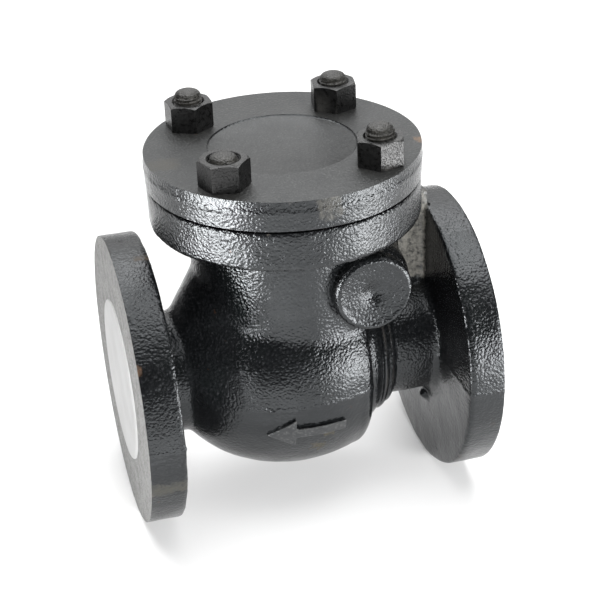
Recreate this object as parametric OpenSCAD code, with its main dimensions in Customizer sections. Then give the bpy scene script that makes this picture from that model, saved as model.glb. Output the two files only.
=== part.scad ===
// Swing check valve, DN 50, flanged ends, bolted cover.
// +X is the inlet side, +Z is up, and the floor is z = 0 under the pipe flanges.

/* [Pipe ends] */
// Outside diameter of both pipe flanges
flange_d = 165; // [163:1:168]
// Thickness of both pipe flanges
flange_t = 20; // [18:1:21]
// Length from flange face to flange face
face_to_face = 200; // [198:1:206]
// Bore of the inlet and outlet ports
port_d = 50; // [48:0.5:51]
// Outside diameter of the neck behind each pipe flange
neck_d = 70; // [68:1:74]

/* [Chamber] */
// Outside radius of the chamber about the pipe axis
chamber_r = 64.5; // [63:0.5:65]
// Distance from the chamber's widest place to its outlet tip
chamber_reach = 75; // [74:0.5:77]
// Wall thickness of the casting
wall = 8; // [7:0.5:9]
// Distance of the chamber's inlet end from the middle
chamber_end = 33.5; // [33:0.5:35]

/* [Cover joint] */
// Diameter of the cover
cover_d = 152.5; // [149:0.5:154]
// Diameter of the body flange under the cover
bonnet_d = 151; // [149:0.5:153]
// Height of the body flange's top face above the pipe axis
bonnet_z = 112.5; // [111:0.5:116]
// Thickness of the body flange under the cover
bonnet_t = 22; // [20:1:24]
// Thickness of the cover
cover_t = 16.5; // [14:0.5:20]
// Thickness of the cover gasket
gasket_t = 1.5; // [1:0.5:2]
// Pitch circle diameter of the cover studs
stud_pcd = 119; // [116:1:120]
// Diameter of the cover studs
stud_d = 16; // [15:0.5:16]

/* [Hinge] */
// Distance of the hinge pin from the middle, towards the inlet
pin_x = 32.5; // [32:0.5:33]
// Height of the hinge pin above the pipe axis
pin_z = 61.5; // [61:0.5:62]
// Diameter of the hinge pin
pin_d = 10; // [9:0.5:10]
// Diameter of the two round bosses that carry the pin
boss_d = 44; // [42:1:45]
// Distance of the closed front boss's face from the middle
boss_front = 60; // [58:1:62]
// Distance of the open rear boss's face from the middle
boss_rear = 56; // [55:1:58]

/* [Clapper] */
// Distance of the seat's face from the middle
seat_x = 38; // [37.5:0.25:38.5]
// Diameter of the clapper disc
disc_d = 62; // [60:1:63]
// Diameter of the stud on the back of the disc
disc_stud_d = 12; // [11:0.5:12]

/* [Port covers] */
// Diameter of the thin disc of each port cover
port_cover_d = 92; // [80:1:100]
// Thickness of each port cover
port_cover_t = 1.2; // [0.8:0.2:2]

/* [Hidden] */
$fn = 96;

axis_z = flange_d / 2;
half = face_to_face / 2;
port_r = port_d / 2;
eps = 0.01;
fit_gap = 0.03;

// chamber
chamber_mid = -3;
end_round = 8;
ring_r = [47, 43.5, 40.5, 36.5];
ring_x = [33.5, 43, 44.5, 51];
pocket_r = 37;
pocket_x = seat_x + 4;
cavity_end = 29;
core_round = 4;
neck_top_r = 54;
neck_foot_r = 55;
split_z = 38;
inlet_split = 56;
outlet_split = -70;
outlet_neck_in = -58;
outlet_core_in = -40;
neck_flare = 4;
throat_top = bonnet_z - bonnet_t;
shelf_z = 38;
opening_r = neck_top_r - wall;
shoulder_r = 44;
shoulder_top = [-13.5, 43.4];
shoulder_lean = 29;
shoulder_up = 48;
shoulder_down = 40;
web_t = 12;
web_l = 16;
web_foot = 30;
arrow_rise = 1.5;
arrow_head = 21;
arrow_barb = 6;
arrow_barb_half = 9;
arrow_shaft = 23;
arrow_shaft_half = 3.5;
arrow_x = -9;
arrow_z = -15;
pad_r = 14;
pad_drop = 66;
pad_h = 20;
reach_out = 100;

// cover joint
stud_pitch_r = stud_pcd / 2;
stud_tapped_r = stud_d / 2;
stud_r = stud_tapped_r - 0.1;
stud_clear_r = stud_tapped_r + 0.75;
stud_angles = [225, 315, 45, 135];
stud_tops = [148, 152.5, 151, 152];
stud_dome = 3;
stud_foot = bonnet_z - bonnet_t + 1;
nut_turns = [50, 13.5, 21.5, 34];
nut_af = 24;
nut_h = 14.8;
nut_bevel = 1.6;
cover_z = bonnet_z + gasket_t;
cover_top = cover_z + cover_t;
spigot_r = opening_r - 0.6;
spigot_h = 4;
dish_r = 41;
dish_depth = 1.2;
cover_draft = 0.6;
cover_round = [0.8, 4];
spigot_wall = 7;
spigot_relief = 3;
nut_sink = 1.1;

// hinge
lug_r = 13;
lug_gap = 17;
lug_end = 44;
bush_r = 7;
bush_l = 20;
pin_r = pin_d / 2;
pin_run = 0.05;
pin_front = -49;
pin_rear = 37;
plug_r = 12;
plug_af = 30;
plug_head = 10;
washer_t = 1.5;
hub_r = 10;
hub_half = 16.5;
plug_gap = 2;
plug_bevel = 2;

// front boss: [outer radius, inner radius, depth] of its dish and of its centre dimple
boss_dish = [19, 5, 1.6];
boss_dimple = [6, 2, 5];

// clapper, given from the seat's face towards the outlet
seat_gap = 0.05;
seat_thread_r = 30;
seat_rim_r = 32.5;
seat_l = 8;
disc_r = disc_d / 2;
disc_back = seat_x - 8;
face_ring_r = 25.5;
face_ring_back = seat_x - 4;
disc_stud_r = disc_stud_d / 2;
disc_stud_end = seat_x - 38;
collar_r = 11;
arm_plate = [seat_x - 19, seat_x - 11];
arm_boss = [seat_x - 20.2, seat_x - 10.5];
arm_boss_r = 15;
disc_washer_x = [seat_x - 23, seat_x - 20.5];
disc_washer_r = 12;
disc_nut_x = [seat_x - 33, seat_x - 23];
disc_nut_af = 18;
split_pin_x = seat_x - 35.5;
split_pin_r = 1.4;
split_eye = [2.2, 0.9];
split_leg = [0.8, 5];
split_spread = 62;
seat_notch = [4, 4, 6];
notch_in = 1.5;
arm_foot_half = 13;
arm_top_half = 9;
rib_t = 6;

// port covers
skirt_gap = 0.4;
skirt_t = 1.5;
skirt_l = 9;
heel_reach = 10.6;
heel_r = 4;
heel_lean = 10;

// Stands its children on the pipe axis.
module at_axis() translate([0, 0, axis_z]) children();

// Turns a profile of [radius, x] points about the pipe axis.
module turned(points) rotate([0, 90, 0]) rotate_extrude() polygon(points);

// A cylinder along X from x = a to x = b.
module rod_x(r, a, b) translate([a, 0, 0]) rotate([0, 90, 0]) cylinder(r = r, h = b - a);

// A cylinder along Y from y = a to y = b.
module rod_y(r, a, b) translate([0, a, 0]) rotate([-90, 0, 0]) cylinder(r = r, h = b - a);

// A cone along X.
module cone_x(r1, r2, a, b) translate([a, 0, 0]) rotate([0, 90, 0]) cylinder(r1 = r1, r2 = r2, h = b - a);

// A hexagonal prism along Z, with both rims bevelled.
module hex_blank(af, h, bevel) {
    corner_r = af / sqrt(3);
    intersection() {
        cylinder(r = corner_r, h = h, $fn = 6);
        rotate_extrude() polygon([
            [0, 0], [corner_r - bevel, 0], [corner_r + eps, bevel * tan(30)],
            [corner_r + eps, h - bevel * tan(30)], [corner_r - bevel, h], [0, h]
        ]);
    }
}

// Points of the chamber's meridian, [radius, x], from the outlet tip to its inlet end.
function meridian(reach, r, end_x, corner) =
    let (end_r = r * sqrt(1 - pow((end_x - corner - chamber_mid) / reach, 2)))
    concat(
        [for (t = [0 : 0.04 : 1]) [r * sin(90 * t), chamber_mid - reach * cos(90 * t)]],
        [for (k = [1 : 8])
            let (x = chamber_mid + k / 8 * (end_x - corner - chamber_mid))
            [r * sqrt(1 - pow((x - chamber_mid) / reach, 2)), x]],
        [for (k = [1 : 5]) [end_r - corner * (1 - cos(18 * k)), end_x - corner + corner * sin(18 * k)]],
        [[0, end_x]]
    );

// The chamber's swelling, as its skin or, with an inset, as its cavity.
module chamber(inset, end_x, corner) {
    turned(meridian(chamber_reach - inset, chamber_r - inset, end_x, corner));
}

// Sloped shoulder from the throat down to the outlet neck.
module shoulder(inset) {
    translate([shoulder_top[0], 0, shoulder_top[1]]) rotate([0, shoulder_lean, 0])
        translate([0, 0, -shoulder_down])
            cylinder(r = shoulder_r - inset, h = shoulder_down + shoulder_up - inset);
}

// The upright throat from the chamber to the cover joint.
module throat(inset, end_x, shelf, top) {
    intersection() {
        cylinder(r1 = neck_foot_r - inset, r2 = neck_top_r - inset, h = top);
        translate([-reach_out, -reach_out, -1])
            cube([reach_out + end_x, 2 * reach_out, top + 2]);
    }
    translate([0, 0, shelf]) cylinder(r = neck_top_r - inset, h = top - shelf);
}

// Stepped rings round the seat, then a short piece of the inlet neck.
module seat_housing() {
    cone_x(ring_r[0], ring_r[1], ring_x[0] - 1, ring_x[1]);
    rod_x(ring_r[2] + 1, ring_x[1] - 1, ring_x[2] + 1);
    cone_x(ring_r[2] + 1.5, ring_r[3], ring_x[2], ring_x[3]);
    rod_x(neck_d / 2, ring_x[3] - 1, inlet_split);
}

// Flow arrow cast on the front of the chamber, pointing to the outlet.
module flow_arrow() {
    intersection() {
        chamber(-arrow_rise, chamber_end, end_round);
        translate([arrow_x, -40, arrow_z]) rotate([90, 0, 0]) linear_extrude(30) polygon([
            [-arrow_head, 0], [-arrow_barb, arrow_barb_half], [-arrow_barb, arrow_shaft_half],
            [arrow_shaft, arrow_shaft_half], [arrow_shaft, -arrow_shaft_half],
            [-arrow_barb, -arrow_shaft_half], [-arrow_barb, -arrow_barb_half]
        ]);
    }
}

module core_skin() {
    chamber(0, chamber_end, end_round);
    throat(0, chamber_end, shelf_z, throat_top);
    shoulder(0);
    seat_housing();
    rod_x(neck_d / 2, outlet_split, outlet_neck_in);
    translate([pin_x, 0, pin_z]) rod_y(boss_d / 2, -boss_front, boss_rear);
    translate([0, 0, -pad_drop]) cylinder(r = pad_r, h = pad_h);
    flow_arrow();
}

module core_cavity() {
    chamber(wall, cavity_end, core_round);
    throat(wall, cavity_end, shelf_z + wall, bonnet_z + 1);
    shoulder(wall);
    rod_x(pocket_r, cavity_end - core_round, pocket_x);
    rod_x(port_r, outlet_split - 1, outlet_core_in);
    rod_x(port_r, seat_x, inlet_split + 1);
}

// Bores for the seat ring, the pin, its bushes and the plug, and the dish and dimple of the front boss.
module core_bores() {
    rod_x(seat_thread_r + fit_gap, pocket_x - 1, pocket_x + seat_l);
    translate([pin_x, 0, pin_z]) {
        rod_y(pin_r + 0.5, pin_front - 1, 0);
        rod_y(bush_r + fit_gap, -lug_gap - bush_l, 0);
        rod_y(bush_r + fit_gap, 0, lug_gap + bush_l + 2);
        rod_y(plug_r + fit_gap, lug_gap + bush_l + 1, boss_rear + 1);
        for (hollow = [boss_dish, boss_dimple])
            translate([0, -boss_front - eps, 0]) rotate([-90, 0, 0])
                cylinder(r1 = hollow[0], r2 = hollow[1], h = hollow[2]);
    }
}

// The casting between the three flanges, from z = low to z = high about the pipe axis.
module body_core(low, high) {
    color("#4a4b4d") at_axis() intersection() {
        difference() {
            union() {
                difference() {
                    core_skin();
                    core_cavity();
                }
                translate([pin_x, 0, pin_z]) {
                    rod_y(lug_r, -lug_end, -lug_gap);
                    rod_y(lug_r, lug_gap, lug_end);
                }
            }
            core_bores();
        }
        translate([outlet_split, -reach_out, low])
            cube([inlet_split - outlet_split, 2 * reach_out, high - low]);
    }
}

module body_bowl() body_core(-reach_out, split_z);

module body_throat() body_core(split_z, throat_top);

// The body's top flange, with a blind tapped hole for each stud.
module body_flange() {
    color("#4a4b4d") at_axis() difference() {
        translate([0, 0, throat_top]) cylinder(r = bonnet_d / 2, h = bonnet_t);
        translate([0, 0, throat_top - 1]) cylinder(r = opening_r, h = bonnet_t + 2);
        for (a = stud_angles)
            rotate(a) translate([stud_pitch_r, 0, stud_foot]) cylinder(r = stud_tapped_r, h = bonnet_t);
    }
}

// A pipe flange with the end of its neck. side = 1 is the inlet, and -1 the outlet.
module pipe_flange(side) {
    back = half - flange_t;
    split = side > 0 ? inlet_split : -outlet_split;
    color("#4a4b4d") at_axis() mirror([side > 0 ? 0 : 1, 0, 0]) difference() {
        union() {
            rod_x(flange_d / 2, back, half);
            rod_x(neck_d / 2, split, back + 1);
            cone_x(neck_d / 2 - eps, neck_d / 2 + neck_flare, back - neck_flare, back + eps);
        }
        rod_x(port_r, split - 1, half + 1);
    }
}

// Upright web between the inlet neck, the inlet flange and the body's top flange.
module body_web() {
    back = half - flange_t;
    color("#4a4b4d") at_axis() difference() {
        translate([back - web_l, -web_t / 2, web_foot]) cube([web_l, web_t, throat_top - web_foot]);
        rod_x(neck_d / 2, inlet_split, half);
        cone_x(neck_d / 2 - eps, neck_d / 2 + neck_flare, back - neck_flare, back + eps);
    }
}

// Screwed-in seat ring with two notches for its fitting tool.
module seat_ring() {
    color("#b08d57") at_axis() difference() {
        union() {
            rod_x(seat_thread_r, pocket_x - eps, pocket_x + seat_l);
            rod_x(seat_rim_r, seat_x, pocket_x);
        }
        rod_x(port_r, seat_x - 1, pocket_x + seat_l + 1);
        for (a = [0, 180])
            rotate([a, 0, 0])
                translate([seat_x + notch_in, seat_rim_r - seat_notch[1] / 2, -seat_notch[2] / 2])
                    cube(seat_notch);
    }
}

module cover() {
    color("#58595b") at_axis() difference() {
        union() {
            translate([0, 0, cover_z])
                cylinder(r1 = cover_d / 2 - cover_draft, r2 = cover_d / 2, h = cover_t - cover_round[1]);
            translate([0, 0, cover_top - cover_round[1]])
                cylinder(r1 = cover_d / 2, r2 = cover_d / 2 - cover_round[0], h = cover_round[1]);
            translate([0, 0, cover_z - spigot_h]) cylinder(r = spigot_r, h = spigot_h + 1);
        }
        translate([0, 0, cover_z - spigot_h - 1])
            cylinder(r = spigot_r - spigot_wall, h = spigot_h + 1 + spigot_relief);
        translate([0, 0, cover_top - dish_depth])
            cylinder(r1 = dish_r - 1, r2 = dish_r, h = dish_depth + eps);
        for (a = stud_angles)
            rotate(a) translate([stud_pitch_r, 0, cover_z - 1]) cylinder(r = stud_clear_r, h = cover_t + 2);
    }
}

module cover_gasket() {
    color("#2b2b29") at_axis() translate([0, 0, bonnet_z]) difference() {
        cylinder(r = stud_pitch_r - stud_clear_r, h = gasket_t);
        translate([0, 0, -1]) cylinder(r = opening_r, h = gasket_t + 2);
    }
}

// One stud: a plain rod with a rounded top end.
module cover_stud(i) {
    dome_r = (pow(stud_r, 2) + pow(stud_dome, 2)) / (2 * stud_dome);
    dome_foot = stud_tops[i] - stud_dome;
    color("#6b6b66") at_axis() rotate(stud_angles[i]) translate([stud_pitch_r, 0, 0]) intersection() {
        translate([0, 0, stud_foot]) cylinder(r = stud_r, h = stud_tops[i] - stud_foot);
        union() {
            translate([0, 0, stud_tops[i] - dome_r]) sphere(r = dome_r);
            translate([0, 0, stud_foot - 1]) cylinder(r = stud_r + 1, h = dome_foot - stud_foot + 1);
        }
    }
}

module cover_nut(i) {
    color("#3a3a39") at_axis()
        rotate(stud_angles[i]) translate([stud_pitch_r, 0, cover_top])
            rotate(nut_turns[i] - stud_angles[i]) difference() {
                hex_blank(nut_af, nut_h, nut_bevel);
                translate([0, 0, -1]) cylinder(r = stud_tapped_r, h = nut_h + 2);
                translate([0, 0, nut_h - 1])
                    cylinder(r1 = stud_tapped_r, r2 = stud_tapped_r + nut_sink, h = nut_sink);
            }
}

module hinge_pin() {
    color("#b9b9b5") at_axis() translate([pin_x, 0, pin_z]) rod_y(pin_r, pin_front, pin_rear);
}

// Bush of the front lug, or of the rear lug with side = 1.
module pin_bush(side) {
    color("#b8924e") at_axis() translate([pin_x, 0, pin_z]) difference() {
        rod_y(bush_r, side > 0 ? lug_gap : -lug_gap - bush_l, side > 0 ? lug_gap + bush_l : -lug_gap);
        rod_y(pin_r + fit_gap, -boss_front, boss_front);
    }
}

module pin_plug() {
    color("#4f5052") at_axis() translate([pin_x, 0, pin_z]) {
        rod_y(plug_r, lug_gap + bush_l + plug_gap, boss_rear + washer_t + 1);
        translate([0, boss_rear + washer_t, 0]) rotate([-90, 0, 0])
            hex_blank(plug_af, plug_head, plug_bevel);
    }
}

module plug_washer() {
    color("#a8673f") at_axis() translate([pin_x, boss_rear, pin_z]) rotate([-90, 0, 0]) difference() {
        cylinder(r = plug_r + 4, h = washer_t);
        translate([0, 0, -1]) cylinder(r = plug_r + 0.3, h = washer_t + 2);
    }
}

// Arm with its hub on the pin, its boss for the disc, a back rib and a stop heel.
module hinge_arm() {
    color("#55565a") at_axis() difference() {
        union() {
            translate([pin_x, 0, pin_z]) rod_y(hub_r, -hub_half, hub_half);
            translate([arm_plate[0], 0, 0]) rotate([90, 0, 90]) linear_extrude(arm_plate[1] - arm_plate[0])
                polygon([
                    [-arm_foot_half, 0], [arm_foot_half, 0], [arm_top_half, pin_z], [-arm_top_half, pin_z]
                ]);
            rod_x(arm_boss_r, arm_boss[0], arm_boss[1]);
            translate([0, rib_t / 2, 0]) rotate([90, 0, 0]) linear_extrude(rib_t)
                polygon([[21, 12], [24, pin_z + 3], [13.5, 50], [13.5, 24]]);
            translate([pin_x - heel_reach * sin(heel_lean), 0, pin_z + heel_reach * cos(heel_lean)])
                rod_y(heel_r, -rib_t, rib_t);
        }
        translate([pin_x, 0, pin_z]) rod_y(pin_r + pin_run, -hub_half - 1, hub_half + 1);
        rod_x(disc_stud_r + 0.1, arm_boss[0] - 1, arm_boss[1] + 1);
    }
}

module clapper_disc() {
    color("#4c4d50") at_axis() difference() {
        union() {
            rod_x(disc_r, disc_back, face_ring_back);
            rod_x(face_ring_r, disc_back + 1, seat_x - 0.8);
            rod_x(collar_r, arm_boss[1] + 0.5, disc_back + 1);
            rod_x(disc_stud_r, disc_stud_end, disc_back + 1);
        }
        translate([split_pin_x, 0, -20]) cylinder(r = split_pin_r + 0.1, h = 40);
    }
}

module disc_face_ring() {
    color("#b8924e") at_axis() difference() {
        rod_x(disc_r, face_ring_back, seat_x - seat_gap);
        rod_x(face_ring_r + fit_gap, face_ring_back - 1, seat_x + 1);
    }
}

module disc_washer() {
    color("#8a8b8c") at_axis() difference() {
        rod_x(disc_washer_r, disc_washer_x[0], disc_washer_x[1]);
        rod_x(disc_stud_r + 0.3, disc_washer_x[0] - 1, disc_washer_x[1] + 1);
    }
}

module disc_nut() {
    color("#8a8b8c") at_axis() translate([disc_nut_x[0], 0, 0]) rotate([0, 90, 0]) difference() {
        hex_blank(disc_nut_af, disc_nut_x[1] - disc_nut_x[0], 1);
        translate([0, 0, -1]) cylinder(r = disc_stud_r + 0.05, h = 20);
    }
}

// Split pin through the disc stud: its eye above, its legs bent apart below.
module disc_split_pin() {
    color("#b9b9b5") at_axis() translate([split_pin_x, 0, 0]) {
        translate([0, 0, -10]) cylinder(r = split_pin_r, h = 18);
        translate([0, 0, 10]) rotate([90, 0, 90])
            rotate_extrude() translate([split_eye[0], 0]) circle(r = split_eye[1], $fn = 24);
        for (side = [-1, 1])
            translate([0, 0, -9.2]) rotate([side * split_spread, 0, 0])
                translate([0, 0, -split_leg[1]]) cylinder(r = split_leg[0], h = split_leg[1]);
    }
}

// A thin moulded disc with a push-in skirt. side = 1 is the inlet, and -1 the outlet.
module port_cover(side) {
    color("#f2f2f0") at_axis() mirror([side > 0 ? 0 : 1, 0, 0]) {
        rod_x(port_cover_d / 2, half, half + port_cover_t);
        difference() {
            rod_x(port_r - skirt_gap, half - skirt_l, half + eps);
            rod_x(port_r - skirt_gap - skirt_t, half - skirt_l - 1, half + 1);
        }
    }
}

body_bowl();
body_throat();
body_flange();
pipe_flange(1);  // inlet_flange
pipe_flange(-1);  // outlet_flange
body_web();
seat_ring();
cover();
cover_gasket();
for (i = [0 : 3]) {
    cover_stud(i);
    cover_nut(i);
}
hinge_pin();
pin_bush(-1);  // pin_bush_front
pin_bush(1);  // pin_bush_rear
pin_plug();
plug_washer();
hinge_arm();
clapper_disc();
disc_face_ring();
disc_washer();
disc_nut();
disc_split_pin();
port_cover(1);  // inlet_port_cover
port_cover(-1);  // outlet_port_cover
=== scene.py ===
import math

import bpy
from mathutils import Matrix, Quaternion, Vector, noise


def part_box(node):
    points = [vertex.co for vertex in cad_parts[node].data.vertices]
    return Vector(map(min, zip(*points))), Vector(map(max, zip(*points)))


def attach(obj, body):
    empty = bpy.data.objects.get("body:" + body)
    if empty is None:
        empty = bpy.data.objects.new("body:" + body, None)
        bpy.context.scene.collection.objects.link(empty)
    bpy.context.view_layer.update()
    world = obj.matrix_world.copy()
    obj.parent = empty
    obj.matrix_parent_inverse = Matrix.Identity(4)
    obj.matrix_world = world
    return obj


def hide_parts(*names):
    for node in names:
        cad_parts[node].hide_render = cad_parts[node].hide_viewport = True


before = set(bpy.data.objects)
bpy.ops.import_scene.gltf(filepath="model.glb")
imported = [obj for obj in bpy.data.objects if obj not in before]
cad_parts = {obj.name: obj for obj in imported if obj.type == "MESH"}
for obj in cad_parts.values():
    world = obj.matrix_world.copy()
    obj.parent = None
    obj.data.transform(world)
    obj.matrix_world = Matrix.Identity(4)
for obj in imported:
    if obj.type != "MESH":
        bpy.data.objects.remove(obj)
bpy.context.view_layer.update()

bpy.ops.object.select_all(action="DESELECT")

# ---------------------------------------------------------------- camera
# A long lens looking down on the front of the valve, a little from the outlet side, held
# slightly out of level.
camera_place = Vector((-0.1920, -0.7485, 0.5426))
camera_aim = Vector((0.0067, 0.0, 0.1142))
camera_roll = math.radians(-2.18)
camera_lens = 92.4

camera_data = bpy.data.cameras.new("camera")
camera_data.lens = camera_lens
camera_data.sensor_width = 36
camera_data.clip_start = 0.01
camera_data.clip_end = 20
camera = bpy.data.objects.new("camera", camera_data)
bpy.context.scene.collection.objects.link(camera)
camera.location = camera_place
camera.rotation_mode = "QUATERNION"
level = (camera_aim - camera_place).to_track_quat("-Z", "Y")
camera.rotation_quaternion = level @ Quaternion((0, 0, 1), camera_roll)
bpy.context.scene.camera = camera

# ---------------------------------------------------------------- valve body
# The body is one grey-iron sand casting: a swelling chamber, an upright throat, two necks
# with pipe flanges, and a round flange for the cover. It is cast with small fillets, then
# turned on its two pipe faces and its top face, bored, and sprayed graphite grey.
MM = 0.001
flange_low, flange_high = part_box("inlet_flange")
pipe_z = (flange_low.z + flange_high.z) / 2
flange_radius = (flange_high.z - flange_low.z) / 2
face_x = flange_high.x
top_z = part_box("body_flange")[1].z
flange_thick = 20 * MM
neck_radius = 35 * MM
port_radius = 25 * MM
grain = 1.46 * MM
pipe_axis = Vector((0, 0, pipe_z))
upright_axis = Vector((0, 0, 0))


def pick(obj):
    """Makes obj the only selected object."""
    bpy.ops.object.select_all(action="DESELECT")
    bpy.context.view_layer.objects.active = obj
    obj.select_set(True)


def edit(obj):
    pick(obj)
    bpy.ops.object.mode_set(mode="EDIT")


def done():
    bpy.ops.object.mode_set(mode="OBJECT")


def drawn(name, points):
    """Starts a piece from one point and extrudes it along the others. It is left in edit mode."""
    bpy.ops.object.select_all(action="DESELECT")
    bpy.ops.mesh.primitive_plane_add(size=MM)
    obj = bpy.context.object
    obj.name = name
    edit(obj)
    bpy.ops.mesh.select_all(action="SELECT")
    bpy.ops.mesh.merge(type="CENTER")
    bpy.ops.transform.translate(value=points[0])
    for here, there in zip(points, points[1:]):
        bpy.ops.mesh.extrude_region_move(TRANSFORM_OT_translate={"value": there - here})
    bpy.ops.mesh.select_all(action="SELECT")
    return obj


def facing_out():
    """Turns the faces of the piece in edit mode outwards, and goes back to object mode."""
    bpy.ops.mesh.select_all(action="SELECT")
    bpy.ops.mesh.normals_make_consistent(inside=False)
    done()


def turned(name, outline, axis="X", centre=pipe_axis, steps=96):
    """Draws an outline of (along, radius) points and spins it round an axis through centre."""
    draw = {
        "X": lambda a, r: Vector((a, 0, r)),
        "Y": lambda a, r: Vector((0, a, r)),
        "Z": lambda a, r: Vector((r, 0, a)),
    }[axis]
    way = {"X": (1, 0, 0), "Y": (0, 1, 0), "Z": (0, 0, 1)}[axis]
    seam_gap = 0.002 * MM
    obj = drawn(name, [centre + draw(a, r) for a, r in outline])
    bpy.ops.mesh.spin(steps=steps, angle=math.tau, center=centre, axis=way)
    bpy.ops.mesh.select_all(action="SELECT")
    bpy.ops.mesh.remove_doubles(threshold=seam_gap)
    facing_out()
    return obj


def rod(name, radius, start, end, axis="X", centre=pipe_axis, steps=96):
    """A plain cylinder along an axis, for a bore or a boss."""
    return turned(name, [(start, 0), (start, radius), (end, radius), (end, 0)], axis, centre, steps)


def block(name, low, high):
    """A box between two corners."""
    low, high = Vector(low), Vector(high)
    bpy.ops.object.select_all(action="DESELECT")
    bpy.ops.mesh.primitive_cube_add(size=1, location=(low + high) / 2)
    obj = bpy.context.object
    obj.name = name
    obj.scale = high - low
    bpy.ops.object.transform_apply(location=True, rotation=True, scale=True)
    return obj


def mm(points, lift=0.0):
    """An outline given in millimetres, in metres, moved along its axis by lift."""
    return [(a * MM + lift, r * MM) for a, r in points]


def arc(centre_along, centre_radius, r, start, end, count=6):
    """Points of a quarter round in an outline, by angle in degrees from the axis direction."""
    turns = [math.radians(start + (end - start) * k / count) for k in range(count + 1)]
    return [(centre_along + r * math.cos(t), centre_radius + r * math.sin(t)) for t in turns]


def apply(obj, kind, **settings):
    """Adds one modifier to obj, sets it and applies it."""
    modifier = obj.modifiers.new(kind.lower(), kind)
    for key, value in settings.items():
        setattr(modifier, key, value)
    pick(obj)
    bpy.ops.object.modifier_apply(modifier=modifier.name)


def combine(obj, tool, how):
    """Cuts tool out of obj (DIFFERENCE) or adds it (UNION), then throws tool away."""
    apply(obj, "BOOLEAN", object=tool, operation=how, solver="MANIFOLD")
    bpy.data.objects.remove(tool)


def cast(name, pieces, voxel, soften=4):
    """Runs overlapping pieces together into one casting with soft edges."""
    bpy.ops.object.select_all(action="DESELECT")
    for piece in pieces:
        piece.select_set(True)
    bpy.context.view_layer.objects.active = pieces[0]
    bpy.ops.object.join()
    obj = bpy.context.object
    obj.name = name
    apply(obj, "REMESH", mode="VOXEL", voxel_size=voxel, adaptivity=0)
    apply(obj, "SMOOTH", factor=0.5, iterations=soften)
    return obj


def waver(obj, size, depth, seam, seam_lift, seam_width):
    """Moves each point of a casting a little, as a sand mould does, and raises its parting seam."""
    moved = []
    for v in obj.data.vertices:
        lift = depth * noise.fractal(v.co / size, 0.8, 2.0, 3, noise_basis="PERLIN_ORIGINAL")
        if abs(v.co.z - seam) < 4 * seam_width:
            wander = 0.5 * MM * noise.noise(v.co / (14 * MM))
            fat = 0.75 + 0.5 * noise.noise(v.co / (6 * MM) + Vector((3, 1, 7)))
            lift += seam_lift * fat * math.exp(-(((v.co.z - seam - wander) / seam_width) ** 2))
        moved.append(v.co + v.normal * lift)
    for v, place in zip(obj.data.vertices, moved):
        v.co = place
    obj.data.update()


# the chamber's outline about the pipe axis: half an ellipse, then a rounded inlet end
chamber_mid = -3 * MM
chamber_reach = 75 * MM
chamber_radius = 64.5 * MM
chamber_end = 33.5 * MM
chamber_corner = 8 * MM
ellipse_step = 3.6
ellipse_points = 26
straight_points = 8


def chamber(name, inset, end, corner):
    """The swelling chamber, grown or shrunk by inset."""
    reach, radius = chamber_reach - inset, chamber_radius - inset
    turns = [math.radians(ellipse_step * k) for k in range(ellipse_points)]
    outline = [(chamber_mid - reach * math.cos(t), radius * math.sin(t)) for t in turns]
    for k in range(1, straight_points + 1):
        x = chamber_mid + k / straight_points * (end - corner - chamber_mid)
        outline.append((x, radius * math.sqrt(1 - ((x - chamber_mid) / reach) ** 2)))
    outline += arc(end - corner, outline[-1][1] - corner, corner, 90, 0)[1:]
    outline.append((end, 0))
    return turned(name, outline)


def chamber_skin(x):
    """The chamber's radius at x along the pipe."""
    return chamber_radius * math.sqrt(max(0.0, 1 - ((x - chamber_mid) / chamber_reach) ** 2))


shoulder_radius = 44 * MM
shoulder_lean = math.radians(29)
shoulder_pivot = Vector((-13.5 * MM, 0, pipe_z + 43.4 * MM))


def shoulder(name, inset):
    """The sloped side of the throat, down to the outlet neck."""
    obj = rod(name, shoulder_radius - inset, -40 * MM, 48 * MM - inset, "Z", upright_axis)
    obj.data.transform(Matrix.Translation(shoulder_pivot) @ Matrix.Rotation(shoulder_lean, 4, "Y"))
    return obj


neck_start = 45 * MM
neck_flare = 5 * MM
rim_round = 1.2 * MM
turning_stock = 1.5 * MM


def neck_and_flange(name, side):
    """A neck that flares into its pipe flange, cast thicker by what is turned off its face."""
    back = face_x - flange_thick
    outline = [(neck_start, 0), (neck_start, neck_radius)]
    outline += arc(back - neck_flare, neck_radius + neck_flare, neck_flare, -90, 0)
    outline += arc(back + rim_round, flange_radius - rim_round, rim_round, 180, 90, 3)
    outline += [(face_x + turning_stock, flange_radius), (face_x + turning_stock, 0)]
    return turned(name, [(side * a, r) for a, r in outline])


pin_axis = Vector((32.5 * MM, 0, pipe_z + 61.5 * MM))

throat_outline = mm([(-5, 0), (-5, 54.8), (84.5, 54)], pipe_z)
throat_outline += arc(pipe_z + 84.5 * MM, 60 * MM, 6 * MM, -90, 0)
throat_outline += mm([(92, 60), (92, 0)], pipe_z)

seat_neck = [(30, 0), (30, 44), (40, 40), (46, 38), (52, 35), (60, 35), (60, 0)]
seat_rings = [
    (30.5, 0), (30.5, 46.2), (34, 47), (35.6, 47), (37.6, 46.4), (39.6, 45.3), (41.2, 43.8),
    (42, 42.5), (42.5, 41.5), (43, 41.1), (43.5, 41.3), (44.1, 42.2), (45, 42.5), (46.3, 41.8),
    (47.2, 40.6), (47.7, 39.4), (48.1, 38.9), (48.6, 39.1), (49.2, 39.6), (50.2, 39.3),
    (51.2, 38.2), (51.9, 37), (52.4, 36), (53, 35.3), (54.5, 34.2), (54.5, 0),
]

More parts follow.
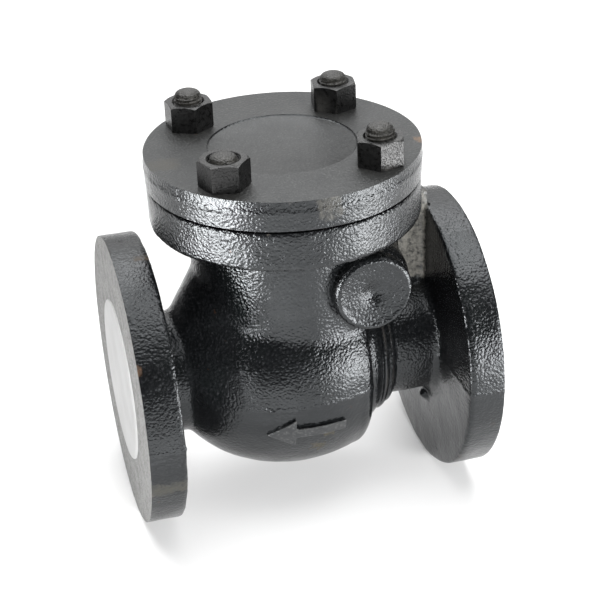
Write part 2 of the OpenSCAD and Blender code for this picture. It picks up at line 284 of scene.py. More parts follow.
boss_front = [(-20, 0), (-20, 27), (-44, 24.5), (-52, 22.4), (-52, 0)]
boss_end = [
    (-44, 0), (-44, 21.9), (-54, 22.1), (-57.2, 21.9), (-58.4, 21.6), (-59.3, 21), (-59.8, 20.2),
    (-60, 19.4), (-59.9, 18.8), (-59.6, 18.1), (-59.3, 17), (-58.8, 12), (-58.2, 8.4),
    (-57.6, 6.2), (-56.9, 4.4), (-56.2, 2.8), (-55.8, 1.3), (-55.7, 0),
]
boss_rear = [(20, 0), (20, 26), (50, 23.5), (54.6, 22), (55.6, 21.4), (56.6, 20), (56.6, 0)]

body_flange = [
    (90.5, 0), (90.5, 74.2), (91, 75.1), (92, 75.5), (110.6, 75.5), (111.8, 75.3),
    (112.6, 74.8), (114, 74.8), (114, 0),
]


# the flow arrow stands out of the chamber, and is cast with soft edges of its own
arrow_lift = 2.1 * MM
arrow_back = -53 * MM
arrow_mid = Vector((-9 * MM, arrow_back, pipe_z - 15.5 * MM))
arrow_points = mm([
    (-22, 0), (-6, 9.5), (-6, 3.2), (23, 3.2), (23, -3.2), (-6, -3.2), (-6, -9.5),
])
arrow = drawn("arrow", [arrow_mid + Vector((a, 0, b)) for a, b in arrow_points])
bpy.ops.mesh.edge_face_add()
bpy.ops.mesh.extrude_region_move(TRANSFORM_OT_translate={"value": (0, -20 * MM, 0)})
facing_out()
arrow_skin = chamber("arrow_skin", -arrow_lift, chamber_end, chamber_corner)
combine(arrow_skin, arrow, "INTERSECT")
apply(arrow_skin, "REMESH", mode="VOXEL", voxel_size=0.5 * MM, adaptivity=0)
apply(arrow_skin, "SMOOTH", factor=0.5, iterations=4)

# a lump of flash beside the inlet flange
bpy.ops.object.select_all(action="DESELECT")
lump_place = (79 * MM, -11 * MM, pipe_z - 39.5 * MM)
bpy.ops.mesh.primitive_ico_sphere_add(subdivisions=3, radius=3.6 * MM, location=lump_place)
lump = bpy.context.object

body = cast(
    "body_casting",
    [
        chamber("chamber", 0, chamber_end, chamber_corner),
        turned("throat", throat_outline, "Z", upright_axis),
        shoulder("shoulder", 0),
        turned("seat_neck", mm(seat_neck)),
        lump,
        rod("outlet_neck", neck_radius, -80 * MM, -55 * MM),
        neck_and_flange("inlet", 1),
        neck_and_flange("outlet", -1),
        turned("front_boss", mm(boss_front), "Y", pin_axis),
        turned("rear_boss", mm(boss_rear), "Y", pin_axis),
        turned("top_flange", mm(body_flange, pipe_z), "Z", upright_axis),
        block("web", (64 * MM, -6 * MM, pipe_z + 30 * MM), (82 * MM, 6 * MM, pipe_z + 92 * MM)),
        rod("bottom_pad", 14 * MM, pipe_z - 66 * MM, pipe_z - 50 * MM, "Z", upright_axis),
    ],
    grain,
)

# the throat runs into the chamber in a wide fillet
fillet = body.vertex_groups.new(name="fillet")
throat_radius = 54.6 * MM
fillet_reach = 14 * MM
for v in body.data.vertices:
    off_throat = abs(math.hypot(v.co.x, v.co.y) - throat_radius)
    off_chamber = abs(math.hypot(v.co.y, v.co.z - pipe_z) - chamber_skin(v.co.x))
    away = (off_throat + off_chamber) / fillet_reach
    if v.co.z > pipe_z + 10 * MM and away < 1:
        fillet.add([v.index], 1 - away, "REPLACE")
apply(body, "SMOOTH", factor=0.5, iterations=60, vertex_group="fillet")
body.vertex_groups.clear()
waver(body, 26 * MM, 0.35 * MM, pipe_z, 0.55 * MM, 1.1 * MM)

for detail in (
    turned("seat_rings", mm(seat_rings), steps=160),
    arrow_skin,
    turned("boss_end", mm(boss_end), "Y", pin_axis, 128),
):
    combine(body, detail, "UNION")

# machining: the two pipe faces and the top face
far = 120 * MM
beyond = far + face_x
for cut in (
    block("turn_in", (face_x, -far, -far), (beyond, far, 3 * far)),
    block("turn_out", (-beyond, -far, -far), (-face_x, far, 3 * far)),
    block("turn_top", (-far, -far, top_z), (far, far, top_z + far)),
):
    combine(body, cut, "DIFFERENCE")

# the cored inside, the seat pocket and its thread, the ports and the hole for the pin plug
wall = 8 * MM
for cut in (
    chamber("core_chamber", wall, 29 * MM, 4 * MM),
    rod("core_throat", 46 * MM, pipe_z + 46 * MM, top_z + MM, "Z", upright_axis),
    shoulder("core_shoulder", wall),
    rod("seat_pocket", 37 * MM, 25 * MM, 42 * MM),
    rod("seat_thread", 30.05 * MM, 41 * MM, 50 * MM),
    rod("port", port_radius, -face_x - MM, face_x + MM, steps=128),
    rod("plug_bore", 12.05 * MM, 38 * MM, 58 * MM, "Y", pin_axis),
):
    combine(body, cut, "DIFFERENCE")

# four tapped holes in the top flange
stud_ring = 59.5 * MM
stud_turns = [math.radians(45 + 90 * quarter) for quarter in range(4)]
stud_axes = [Vector((stud_ring * math.cos(t), stud_ring * math.sin(t), 0)) for t in stud_turns]
for axis in stud_axes:
    combine(body, rod("tap", 8 * MM, top_z - 21 * MM, top_z + MM, "Z", axis, 48), "DIFFERENCE")

# the lugs inside that carry the hinge pin, then bored through
combine(body, rod("front_lug", 13 * MM, -44 * MM, -17 * MM, "Y", pin_axis), "UNION")
combine(body, rod("rear_lug", 13 * MM, 17 * MM, 37.5 * MM, "Y", pin_axis), "UNION")
combine(body, rod("pin_bore", 7.05 * MM, -37 * MM, 45 * MM, "Y", pin_axis, 48), "DIFFERENCE")
combine(body, rod("pin_end", 5.5 * MM, -50 * MM, -30 * MM, "Y", pin_axis, 48), "DIFFERENCE")


def nodes_of(name):
    """A new material, its node maker and its surface shader."""
    material = bpy.data.materials.new(name)
    material.use_nodes = True
    tree = material.node_tree
    shader = tree.nodes["Principled BSDF"]

    def node(kind, inputs=None, **settings):
        made = tree.nodes.new(kind)
        for key, value in settings.items():
            setattr(made, key, value)
        for key, value in (inputs or {}).items():
            if isinstance(value, bpy.types.NodeSocket):
                tree.links.new(value, made.inputs[key])
            else:
                made.inputs[key].default_value = value
        return made

    def link(out, socket):
        tree.links.new(out, socket)

    return material, node, link, shader


def ramp(node, fac, stops):
    """A colour ramp from (position, grey or colour) stops."""
    made = node("ShaderNodeValToRGB", {"Fac": fac})
    band = made.color_ramp
    while len(band.elements) < len(stops):
        band.elements.new(0.5)
    for element, (place, value) in zip(band.elements, stops):
        element.position = place
        colour = (value, value, value) if isinstance(value, (int, float)) else value
        element.color = (*colour, 1)
    return made.outputs["Color"]


def mapped(node, value, low, high, to_low=0.0, to_high=1.0):
    """Value's span from low to high, stretched to another span."""
    ends = {"Value": value, "From Min": low, "From Max": high, "To Min": to_low, "To Max": to_high}
    return node("ShaderNodeMapRange", ends).outputs[0]


def times(node, first, second):
    return node("ShaderNodeMath", {0: first, 1: second}, operation="MULTIPLY").outputs[0]


def mixed(node, amount, first, second):
    """One number turning into another by amount."""
    return node("ShaderNodeMix", {0: amount, 2: first, 3: second}).outputs[0]


def laid_over(node, amount, under, colour):
    """A plain colour laid over another by amount."""
    ends = {0: amount, 6: under, 7: (*colour, 1)}
    return node("ShaderNodeMix", ends, data_type="RGBA").outputs[2]


def cloud(node, place, scale, detail, rough=0.5):
    """A cloudy pattern; its Fac output runs from about 0.3 to 0.7."""
    ends = {"Vector": place, "Scale": scale, "Detail": detail, "Roughness": rough}
    return node("ShaderNodeTexNoise", ends)


def bumpy(node, link, shader, strength, depth, height):
    made = node("ShaderNodeBump", {"Strength": strength, "Distance": depth, "Height": height})
    link(made.outputs[0], shader.inputs["Normal"])


def between(node, value, low, high, soft):
    """1 where value lies between low and high, falling to 0 over soft at both ends."""
    up = mapped(node, value, low - soft, low + soft)
    down = mapped(node, value, high + soft, high - soft)
    return times(node, up, down)


def patch(node, place, low, high, soft, ragged):
    """1 inside a box on the surface, given by its low and high corners, with a ragged edge."""
    wobble = cloud(node, place, 210, 4, 0.65).outputs["Color"]
    ends = {0: wobble, 1: (0.5, 0.5, 0.5)}
    offset = node("ShaderNodeVectorMath", ends, operation="SUBTRACT").outputs[0]
    scaled = node("ShaderNodeVectorMath", {0: offset, 3: ragged}, operation="SCALE").outputs[0]
    place = node("ShaderNodeVectorMath", {0: place, 1: scaled}, operation="ADD").outputs[0]
    parts = node("ShaderNodeSeparateXYZ", {0: place}).outputs
    inside = between(node, parts[0], low[0], high[0], soft)
    inside = times(node, inside, between(node, parts[1], low[1], high[1], soft))
    inside = times(node, inside, between(node, parts[2], low[2], high[2], soft))
    crumbs = cloud(node, place, 330, 4, 0.7).outputs["Fac"]
    return times(node, inside, ramp(node, crumbs, [(0.36, 0.15), (0.6, 1.0)]))


brown_iron = (0.10, 0.09, 0.08)
dark_rust = (0.09, 0.04, 0.018)
under_cast_smooth = 0.55


def cast_paint(
    name, dark, light, rough, pebble, fleck, rust=0.5, parting=True, patches=(), wear=1.0
):
    """Graphite-grey sprayed paint over sand-cast iron: pebbly, mottled, worn on its edges."""
    material, node, link, shader = nodes_of(name)
    place = node("ShaderNodeTexCoord").outputs["Object"]
    ends = {"Vector": place, "Scale": 640, "Smoothness": 0.6}
    pebbles = node("ShaderNodeTexVoronoi", ends, feature="SMOOTH_F1").outputs["Distance"]
    orange_peel = cloud(node, place, 760, 2, 0.55).outputs["Fac"]
    swell = cloud(node, place, 30, 3, 0.55).outputs["Fac"]
    clouds = cloud(node, place, 90, 5, 0.65).outputs["Fac"]
    colour = ramp(node, clouds, [(0.3, dark), (0.7, light)])
    # painted highlight: lighter flecks on the tops of the pebbles
    tops = ramp(node, pebbles, [(0.15, 1.0), (0.5, 0.0)])
    pebble_highlight = times(node, tops, ramp(node, orange_peel, [(0.4, 0.0), (0.6, 1.0)]))
    colour = laid_over(node, pebble_highlight, colour, fleck)
    # edges rubbed through to brownish iron
    edge = node("ShaderNodeNewGeometry").outputs["Pointiness"]
    rub = mapped(node, edge, 0.54, 0.64, 0.0, wear)
    worn = times(node, rub, ramp(node, clouds, [(0.42, 0.0), (0.6, 1.0)]))
    colour = laid_over(node, worn, colour, brown_iron)
    # rust freckles
    freckle = cloud(node, place, 120, 3, 0.7).outputs["Fac"]
    spot = ramp(node, freckle, [(0.71, 0.0), (0.76, rust)])
    colour = laid_over(node, spot, colour, dark_rust)
    gloss = mapped(node, swell, 0.3, 0.7, rough - 0.05, rough + 0.08)
    gloss = mixed(node, rub, gloss, 0.55)
    strength = mapped(node, swell, 0.3, 0.7, pebble * 0.65, pebble)
    if parting:
        # the half of the mould under the parting line left a smoother skin
        height_z = node("ShaderNodeSeparateXYZ", {0: place}).outputs[2]
        seam_low, seam_high = pipe_z - 0.8 * MM, pipe_z + 0.4 * MM
        above = mapped(node, height_z, seam_low, seam_high, under_cast_smooth)
        strength = times(node, strength, above)
    for low, high, soft, ragged, tint, dull, flat in patches:
        inside = patch(node, place, low, high, soft, ragged)
        colour = laid_over(node, inside, colour, tint)
        gloss = mixed(node, inside, gloss, dull)
        strength = mixed(node, inside, strength, flat)
    link(colour, shader.inputs["Base Color"])
    link(gloss, shader.inputs["Roughness"])
    height = times(node, pebbles, -0.7)
    height = node("ShaderNodeMath", {0: orange_peel, 1: height}, operation="ADD").outputs[0]
    bumpy(node, link, shader, strength, 0.5 * MM, height)
    shader.inputs["Specular IOR Level"].default_value = 0.5
    shader.inputs["Specular Tint"].default_value = (0.93, 0.97, 1, 1)
    return material


groove_shade = (0.12, 0.12, 0.115)
face_dirt = (0.09, 0.085, 0.075)
bright_rust = (0.2, 0.09, 0.04)


def machined(name, grey, centre, axis, rust=0.4):
    """Bare turned iron: fine rings left by the tool with painted shade in their grooves, dull
    patches and a few rust specks.
    """
    material, node, link, shader = nodes_of(name)
    place = node("ShaderNodeTexCoord").outputs["Object"]
    ends = {"Vector": place, "Location": [-c for c in centre]}
    moved = node("ShaderNodeMapping", ends).outputs[0]
    ends = {"Vector": moved, "Scale": 260, "Distortion": 0.4, "Detail": 2}
    kind = {"wave_type": "RINGS", "rings_direction": axis}
    rings = node("ShaderNodeTexWave", ends, **kind).outputs["Fac"]
    clouds = cloud(node, place, 120, 8, 0.75).outputs["Fac"]
    dim_grey, bright_grey = [g * 0.55 for g in grey], [g * 1.25 for g in grey]
    tone = ramp(node, clouds, [(0.36, dim_grey), (0.52, grey), (0.7, bright_grey)])
    grit = cloud(node, place, 620, 3, 0.6).outputs["Fac"]
    tone = laid_over(node, ramp(node, grit, [(0.5, 0.0), (0.66, 0.8)]), tone, face_dirt)
    # painted shade: the low parts of the tool's rings are darkened in colour
    groove_shade_mask = ramp(node, rings, [(0.5, 0.3), (0.9, 0.0)])
    tone = laid_over(node, groove_shade_mask, tone, groove_shade)
    speck = cloud(node, place, 160, 3, 0.75).outputs["Fac"]
    spot = ramp(node, speck, [(0.66, 0.0), (0.72, rust)])
    link(laid_over(node, spot, tone, bright_rust), shader.inputs["Base Color"])
    link(mapped(node, clouds, 0, 1, 0.5, 0.75), shader.inputs["Roughness"])
    bumpy(node, link, shader, 0.5, 0.08 * MM, rings)
    shader.inputs["Specular IOR Level"].default_value = 0.15
    return material


def painted(piece, finishes, angle):
    """Gives a piece its finishes and shades it smooth up to an angle in degrees."""
    piece.data.materials.clear()
    for finish in finishes:
        piece.data.materials.append(finish)
    pick(piece)
    bpy.ops.object.shade_smooth_by_angle(angle=math.radians(angle))


def at(level, x, y, z):
    """A corner given in millimetres, its height counted from a level given in metres."""
    return (x * MM, y * MM, level + z * MM)


rim_z = pipe_z + flange_radius
pale_web = (0.13, 0.125, 0.112)
ground_black = (0.008, 0.0085, 0.009)
scuff_brown = (0.03, 0.028, 0.021)
pit_brown = (0.035, 0.028, 0.014)
rim_brown = (0.05, 0.035, 0.022)
rim_black = (0.006, 0.006, 0.006)
rim_rust = (0.08, 0.042, 0.02)
# each patch: low corner, high corner, softness, raggedness, tint, roughness, bump
body_patches = [
    # a paler, matte patch on the web under the top flange
    (at(pipe_z, 58, -8, 38), at(pipe_z, 81, 8, 92), 1 * MM, 6 * MM, pale_web, 0.6, 0.5),
    # smoother ground place on the front of the throat
    (at(pipe_z, -24, -70, 50), at(pipe_z, 4, -40, 80), 1.5 * MM, 6 * MM, ground_black, 0.28, 0.4),
    # scuffed band and rust on the outlet flange's rim
    (at(pipe_z, -101, -86, -29), at(pipe_z, -79, -70, -21), 1 * MM, 9 * MM, scuff_brown, 0.6, 0.3),
    (at(rim_z, -89, -16, -8), at(rim_z, -78, -12, 3), 1 * MM, 6 * MM, rim_brown, 0.6, 0.5),
    (at(rim_z, -94, 6, -8), at(rim_z, -90, 11, 3), 1 * MM, 6 * MM, rim_black, 0.6, 0.5),
    (at(pipe_z, -102, -72, 43), at(pipe_z, -98, -64, 47), 1 * MM, 6 * MM, rim_rust, 0.7, 0.6),
    # casting pits with rust below the parting line
    (at(pipe_z, 2, -66, -22), at(pipe_z, 8, -54, -16), 0.8 * MM, 12 * MM, pit_brown, 0.6, 0.9),
    (at(pipe_z, -4, -64, -34), at(pipe_z, 3, -48, -28), 0.8 * MM, 14 * MM, pit_brown, 0.6, 0.9),
]
body_paint = cast_paint(
    "body_paint", [0.002, 0.0022, 0.0024], [0.004, 0.0044, 0.0048], 0.2, 0.9,
    (0.012, 0.0125, 0.0135), patches=body_patches,
)
# the arrow's raised face gets a lighter, rougher paint than the body
arrow_face_paint = cast_paint(
    "arrow_face_paint", [0.010, 0.0102, 0.0106], [0.022, 0.0224, 0.023], 0.34, 0.7,
    (0.06, 0.06, 0.058),
)
turned_face = machined("turned_iron", [0.34, 0.34, 0.335], (0, 0, pipe_z), "X")
painted(body, [body_paint, turned_face, arrow_face_paint], 35)
face_slack = 0.05 * MM
arrow_top = 1.3 * MM
arrow_half_long, arrow_half_wide = 26 * MM, 12 * MM
for face in body.data.polygons:
    spot = face.center
    proud = math.hypot(spot.y, spot.z - pipe_z) - chamber_skin(spot.x)
    along, across = abs(spot.x - arrow_mid.x), abs(spot.z - arrow_mid.z)
    on_arrow = spot.y < arrow_back and along < arrow_half_long and across < arrow_half_wide
    if abs(spot.x) > face_x - face_slack and abs(face.normal.x) > 0.9:
        face.material_index = 1
    elif proud > arrow_top and on_arrow:
        face.material_index = 2
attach(body, "body")
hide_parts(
    "body_bowl", "body_throat", "body_flange", "inlet_flange", "outlet_flange", "body_web"
)

# ---------------------------------------------------------------- cover
# A round iron casting, drilled for four studs. A shallow round dish in its top was left by
# the pattern, and a spigot under it drops into the throat.
cover_low, cover_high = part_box("cover")
cover_top = cover_high.z
cover_seat = top_z + 1.5 * MM
cover_radius = (cover_high.x - cover_low.x) / 2
cover_outline = [
    (-1.5, 0), (-1.5, 75.6), (3.4, 75.8), (9.6, 76.1), (10.2, 76.25), (10.8, 75.9), (14.4, 75.8),
    (19.5, 75.6), (19.5, 0),
]
dish = [(15.6, 0), (15.6, 39.9), (15.8, 40.4), (16.3, 40.9), (16.7, 41.2), (19, 41.4), (19, 0)]
spigot_radius = 45.4 * MM
relief_radius = 38.4 * MM
drill_radius = 8.75 * MM
cover_blank = turned("cover_blank", mm(cover_outline, cover_seat), "Z", upright_axis, 128)
cover = cast("cover_casting", [cover_blank], 1.2 * MM, 3)
waver(cover, 30 * MM, 0.25 * MM, cover_seat + 10.4 * MM, 0.3 * MM, 1.4 * MM)
for cut in (
    block("turn_cover_top", (-far, -far, cover_top), (far, far, cover_top + far)),
    turned("dish", mm(dish, cover_seat), "Z", upright_axis, 160),
    block("turn_cover", (-far, -far, cover_seat - far), (far, far, cover_seat)),
):
    combine(cover, cut, "DIFFERENCE")
spigot = rod("spigot", spigot_radius, cover_seat - 4 * MM, cover_seat + MM, "Z", upright_axis)
combine(cover, spigot, "UNION")
relief_top = cover_seat - 0.5 * MM
relief = rod("relief", relief_radius, cover_seat - 5 * MM, relief_top, "Z", upright_axis)
combine(cover, relief, "DIFFERENCE")
for axis in stud_axes:
    drill = rod("drill", drill_radius, cover_seat - MM, cover_top + MM, "Z", axis, 48)
    combine(cover, drill, "DIFFERENCE")

# patches as on the body: rust on the edge, a scuffed place on top and one on the side
edge_rust = (
    at(cover_top, 69, -26, -4), at(cover_top, 80, -18, 4), 0.6 * MM, 5 * MM,
    (0.12, 0.075, 0.045), 0.6, 0.3,
)
top_scuff = (
    at(cover_top, -74, -14, -6), at(cover_top, -60, 0, 5), 1 * MM, 18 * MM,
    (0.04, 0.036, 0.028), 0.6, 0.3,
)
side_scuff = (
    at(cover_seat, -2, -84, 5), at(cover_top, 11, -66, 5), 1 * MM, 9 * MM,
    (0.035, 0.033, 0.028), 0.45, 0.3,
)
cover_paint = cast_paint(
    "cover_paint", [0.010, 0.010, 0.0095], [0.018, 0.018, 0.017], 0.44, 0.6,
    (0.045, 0.045, 0.043), 0.35, False, [top_scuff, edge_rust], wear=0.0,
)
side_paint = cast_paint(
    "side_paint", [0.003, 0.0032, 0.0034], [0.006, 0.0065, 0.007], 0.2, 0.8,
    (0.014, 0.0145, 0.0155), 0.4, False, [side_scuff, edge_rust],
)
painted(cover, [cover_paint, side_paint], 35)
for face in cover.data.polygons:
    face.material_index = 0 if face.normal.z > 0.75 else 1
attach(cover, "body")
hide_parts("cover")

# ---------------------------------------------------------------- cover studs
# Four M16 studs, cut from the same threaded bar to slightly different lengths, with rounded
# ends, and screwed into the body's top flange.
stud_pitch = 2 * MM
stud_radius = 7.9 * MM
stud_groove = 1.2 * MM
stud_dome = 3 * MM
ring_rise = 0.4 * MM
thread_steepness = 2.6
thread_run_out = 0.8 * MM
foot_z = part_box("cover_stud_1")[0].z
tallest = max(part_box(f"cover_stud_{k}")[1].z for k in range(1, 5))
dome_z = tallest - stud_dome

ring_count = int((dome_z - foot_z) / ring_rise)
dome_turns = [math.radians(a) for a in range(0, 90, 12)]
thread_edge = stud_radius * 0.9
stud_outline = [(foot_z - 5 * MM, 0), (foot_z - 5 * MM, stud_radius)]
stud_outline += [(foot_z + ring_rise * k, stud_radius) for k in range(ring_count)]
stud_outline += [
    (dome_z + stud_dome * math.sin(t), thread_edge * math.cos(t)) for t in dome_turns
]
stud_outline.append((tallest, 0))
stud = turned("cover_stud_blank", stud_outline, "Z", upright_axis, 48)
for v in stud.data.vertices:
    flat = Vector((v.co.x, v.co.y))
    if foot_z < v.co.z < dome_z - 0.2 * MM and flat.length > thread_edge:
        phase = (v.co.z / stud_pitch - math.atan2(flat.y, flat.x) / math.tau) % 1.0
        groove = max(0.0, 1 - abs(phase - 0.5) * thread_steepness)
        fade = min(1.0, (dome_z - v.co.z) / thread_run_out)
        shrink = 1 - stud_groove * groove * fade / stud_radius
        v.co.x, v.co.y = flat.x * shrink, flat.y * shrink


def middle(node):
    """Where a stud's axis stands."""
    low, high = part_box(node)
    return Vector(((low.x + high.x) / 2, (low.y + high.y) / 2, 0))


def copied(piece, name, place, turn=0.0):
    """A copy with its own mesh, turned about its upright axis and set down in its place."""
    twin = piece.copy()
    twin.data = piece.data.copy()
    twin.name = twin.data.name = name
    bpy.context.scene.collection.objects.link(twin)
    pick(twin)
    twin.location = place
    twin.rotation_euler = (0, 0, turn)
    bpy.ops.object.transform_apply(location=True, rotation=True, scale=True)
    return twin


rubbed_steel = (0.3, 0.29, 0.27)


def black_steel(name, colour, rough, edge_shine=0.5, metal=0.6, depth=0.08):
    """Oil-blackened steel, rubbed brighter on its edges."""
    material, node, link, shader = nodes_of(name)
    place = node("ShaderNodeTexCoord").outputs["Object"]
    clouds = cloud(node, place, 420, 5, 0.7).outputs["Fac"]
    dark, light = [c * 0.2 for c in colour], [c * 1.7 for c in colour]
    tone = ramp(node, clouds, [(0.36, dark), (0.62, light)])
    edge = node("ShaderNodeNewGeometry").outputs["Pointiness"]
    rub = mapped(node, edge, 0.53, 0.62, 0.0, edge_shine)
    link(laid_over(node, rub, tone, rubbed_steel), shader.inputs["Base Color"])
    link(mapped(node, clouds, 0, 1, rough - 0.1, rough + 0.15), shader.inputs["Roughness"])
    scale = node("ShaderNodeTexVoronoi", {"Vector": place, "Scale": 1100}).outputs["Distance"]
    fine = cloud(node, place, 900, 3).outputs["Fac"]
    skin = node("ShaderNodeMath", {0: scale, 1: fine}, operation="SUBTRACT").outputs[0]
    bumpy(node, link, shader, 0.7, depth * MM, skin)
    shader.inputs["Metallic"].default_value = metal
    shader.inputs["Specular IOR Level"].default_value = 0.45
    return material


stud_steel = black_steel("stud_steel", [0.014, 0.0135, 0.012], 0.32, 0.12, 0.0, 0.5)
for k in range(1, 5):
    drop = Vector((0, 0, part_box(f"cover_stud_{k}")[1].z - tallest))
    piece = copied(stud, f"stud_{k}", middle(f"cover_stud_{k}") + drop, math.radians(90 * k))
    edit(piece)
    bpy.ops.mesh.select_all(action="SELECT")
    foot = {"plane_co": (0, 0, foot_z), "plane_no": (0, 0, 1)}
    bpy.ops.mesh.bisect(**foot, use_fill=True, clear_inner=True)
    facing_out()
    painted(piece, [stud_steel], 50)
    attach(piece, "body")
    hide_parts(f"cover_stud_{k}")
bpy.data.objects.remove(stud)

# ---------------------------------------------------------------- cover nuts
# Four heavy hexagon nuts, forged, blackened and chamfered on top, each stopped where it
# came tight.
nut_corner = 24 * MM / math.sqrt(3)
nut_turns = [50, 13.5, 21.5, 34]
nut_low, nut_high = (corner.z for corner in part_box("cover_nut_1"))
nut_steel = black_steel("nut_steel", [0.004, 0.004, 0.004], 0.27, 0.06, 0.0, 0.3)
bpy.ops.object.select_all(action="DESELECT")
nut_middle = (0, 0, (nut_low + nut_high) / 2)
bpy.ops.mesh.primitive_cylinder_add(
    vertices=6, radius=nut_corner, depth=nut_high - nut_low, location=nut_middle
)
nut = bpy.context.object
bpy.ops.object.transform_apply(location=True, rotation=True, scale=True)
nut_hole = 8 * MM
hole_mouth = 9.2 * MM
chamfer = [
    (nut_low - MM, 0), (nut_low - MM, nut_corner - 1.6 * MM), (nut_low, nut_corner - 1.2 * MM),
    (nut_low + MM, nut_corner + MM), (nut_high - 1.5 * MM, nut_corner + MM),
    (nut_high - 0.9 * MM, nut_corner), (nut_high + 0.01 * MM, nut_corner - 1.7 * MM),
    (nut_high + MM, 0),
]
combine(nut, turned("chamfer", chamfer, "Z", upright_axis, 96), "INTERSECT")
hole = [
    (nut_low - MM, 0), (nut_low - MM, nut_hole), (nut_high - 1.2 * MM, nut_hole),
    (nut_high + 0.05 * MM, hole_mouth), (nut_high + MM, hole_mouth), (nut_high + MM, 0),
]
combine(nut, turned("hole", hole, "Z", upright_axis, 48), "DIFFERENCE")
apply(nut, "BEVEL", width=0.35 * MM, segments=2, limit_method="ANGLE", angle_limit=math.radians(25))
for k in range(1, 5):
    piece = copied(nut, f"nut_{k}", middle(f"cover_stud_{k}"), math.radians(nut_turns[k - 1] - 90))
    painted(piece, [nut_steel], 12)
    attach(piece, "body")
    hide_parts(f"cover_nut_{k}")
bpy.data.objects.remove(nut)

# ---------------------------------------------------------------- gasket and pin fittings
# A graphite sheet gasket under the cover, the ground pin with its washer, nut and split pin,
# and the turned bronze seat, bushes, disc face and plug washer. The arm and the disc are bare
# iron, and the pin's plug is blackened steel.
gasket, node, link, shader = nodes_of("gasket_sheet")
place = node("ShaderNodeTexCoord").outputs["Object"]
fibre = cloud(node, place, 700, 4).outputs["Fac"]
link(ramp(node, fibre, [(0.3, 0.008), (0.7, 0.025)]), shader.inputs["Base Color"])
shader.inputs["Roughness"].default_value = 0.85
bumpy(node, link, shader, 0.4, 0.1 * MM, fibre)
bronze = black_steel("turned_bronze", [0.5, 0.33, 0.14], 0.35, 0.4)
ground = black_steel("ground_steel", [0.5, 0.5, 0.48], 0.3, 0.3)
iron = cast_paint(
    "bare_iron", [0.07, 0.068, 0.064], [0.12, 0.115, 0.11], 0.55, 0.5,
    (0.2, 0.195, 0.185), 0.5, False,
)
plug_black = black_steel("plug_steel", [0.02, 0.02, 0.02], 0.4, 0.08, 0.0, 0.2)
for finish, names in {
    gasket: ["cover_gasket"],
    bronze: ["seat_ring", "pin_bush_front", "pin_bush_rear", "disc_face_ring", "plug_washer"],
    ground: ["hinge_pin", "disc_washer", "disc_nut", "disc_split_pin"],
    iron: ["hinge_arm", "clapper_disc"],
    plug_black: ["pin_plug"],
}.items():
    for name in names:
        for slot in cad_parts[name].material_slots:
            slot.material = finish

# ---------------------------------------------------------------- port protectors
# A thin moulded disc of white plastic is pushed into each port, and keeps dirt out until the
# valve is fitted. A short skirt grips the bore, and a flat brim lies on the turned face.
white, node, link, shader = nodes_of("white_moulding")
place = node("ShaderNodeTexCoord").outputs["Object"]
streak = cloud(node, place, 40, 3).outputs["Fac"]
dull_white, clean_white = (0.58, 0.58, 0.575), (0.66, 0.66, 0.66)
link(ramp(node, streak, [(0.3, dull_white), (0.7, clean_white)]), shader.inputs["Base Color"])
shader.inputs["Roughness"].default_value = 0.6
shader.inputs["Specular IOR Level"].default_value = 0.15
bumpy(node, link, shader, 0.2, 0.2 * MM, streak)
cap_outline = [
    (91, 24.6), (91, 23.1), (99.8, 23.1), (100.4, 0), (101.05, 0), (101.05, 30), (101.15, 42),
    (101.2, 44.6), (101.1, 45.5), (100.7, 46), (100, 46), (100, 25.2), (99.4, 24.6), (91, 24.6),
]
for side, name in ((1, "inlet_port_cover"), (-1, "outlet_port_cover")):
    outline = mm([(side * a, r) for a, r in cap_outline])
    shell = turned(f"{name}_moulding", outline, steps=128)
    painted(shell, [white], 35)
    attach(shell, "inlet_cap" if side > 0 else "outlet_cap")
    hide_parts(name)

# ---------------------------------------------------------------- floor and light
# A round white floor against a white surround. Low cards at the left and right show only as
# gloss, boxes and a wide front light only fill, and wide soft lights hang overhead and behind.
bpy.ops.object.select_all(action="DESELECT")
bpy.ops.mesh.primitive_circle_add(vertices=96, radius=1.5, fill_type="NGON", location=(0, 0, 0))
floor = bpy.context.object
floor.name = "floor"
floor_white, node, link, shader = nodes_of("floor_white")
shader.inputs["Base Color"].default_value = (0.9, 0.9, 0.9, 1)
shader.inputs["Roughness"].default_value = 0.9
shader.inputs["Specular IOR Level"].default_value = 0.1
floor.data.materials.append(floor_white)


def soft_light(name, place, aim, wide, tall, power, diffuse=True, glossy=True, onto=()):
    """A flat soft light. Where onto names pieces, it lights those pieces alone."""
    data = bpy.data.lights.new(name, "AREA")
    data.shape = "RECTANGLE"
    data.size, data.size_y = wide, tall
    data.energy = power
    light = bpy.data.objects.new(name, data)
    bpy.context.scene.collection.objects.link(light)
    light.location = place
    light.rotation_euler = (Vector(aim) - Vector(place)).to_track_quat("-Z", "Y").to_euler()
    light.visible_camera = False
    light.visible_diffuse = diffuse
    light.visible_glossy = glossy
    if onto:
        lit = bpy.data.collections.new(f"{name}_onto")
        for piece_name in onto:
            lit.objects.link(bpy.data.objects[piece_name])
        light.light_linking.receiver_collection = lit


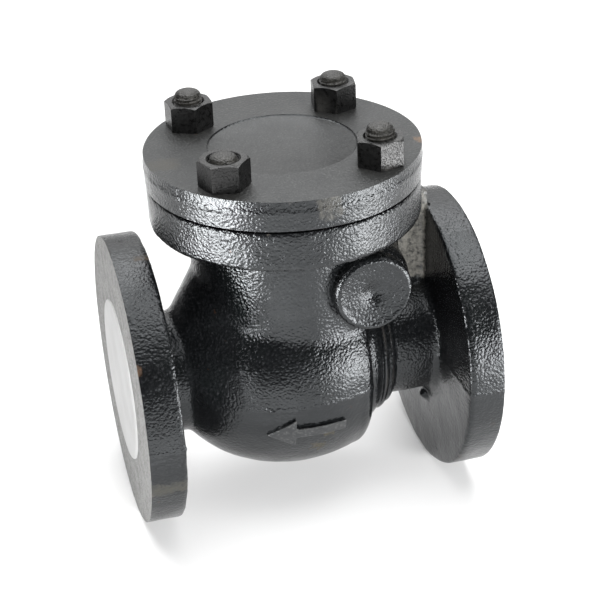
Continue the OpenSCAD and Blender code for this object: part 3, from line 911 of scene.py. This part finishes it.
castings = ("body_casting", "cover_casting")
card_height = 0.085
floor_spot = (-0.09, -0.24)
gloss_only = {"diffuse": False}
fill_only = {"glossy": False}
soft_light(
    "left_card", (-0.355, -0.15, card_height), (0, 0, card_height), 0.22, 0.17, 3.5,
    **gloss_only, onto=castings,
)
soft_light(
    "right_card", (0.30, -0.27, card_height), (0, 0, card_height), 0.24, 0.17, 1.9,
    **gloss_only, onto=(*castings, "nut_2"),
)
soft_light(
    "left_floor_card", (*floor_spot, 0.002), (*floor_spot, 1), 0.16, 0.14, 0.08, **gloss_only
)
soft_light("right_roof_card", (0.45, -0.2, 0.9), (0.07, 0, 0.16), 0.45, 0.45, 1.7, **gloss_only)
soft_light("left_box", (-1.15, -0.42, 0.6), (0, 0, 0.1), 0.5, 1.1, 1.2, **fill_only)
soft_light("right_box", (0.95, -0.86, 0.6), (0, 0, 0.1), 0.5, 1.1, 5, **fill_only)
soft_light("roof", (0.05, 0.05, 1.0), (0.05, 0.05, 0), 1.1, 1.1, 12)
soft_light("back_sweep", (0.35, 1.9, 1.05), (0.35, 0, 0.5), 2.4, 1.8, 14)
soft_light("sweep_top", (0.0, 1.15, 1.6), (0, 1.15, 0), 2.2, 1.0, 22)
soft_light("front_fill", (0.3, -2.6, 0.75), (0, 0, 0), 2.4, 0.7, 170, **fill_only)

# the surround is white where the camera sees it, and lights the valve only faintly
world = bpy.data.worlds.new("studio")
bpy.context.scene.world = world
world.use_nodes = True
nodes, links = world.node_tree.nodes, world.node_tree.links
dim = nodes["Background"]
dim.inputs["Color"].default_value = (1, 1, 1, 1)
dim.inputs["Strength"].default_value = 0.04
backdrop = nodes.new("ShaderNodeBackground")
backdrop.inputs["Color"].default_value = (1, 1, 1, 1)
seen = nodes.new("ShaderNodeMixShader")
links.new(nodes.new("ShaderNodeLightPath").outputs["Is Camera Ray"], seen.inputs[0])
links.new(dim.outputs[0], seen.inputs[1])
links.new(backdrop.outputs[0], seen.inputs[2])
links.new(seen.outputs[0], nodes["World Output"].inputs["Surface"])
bpy.context.scene.view_settings.view_transform = "Standard"
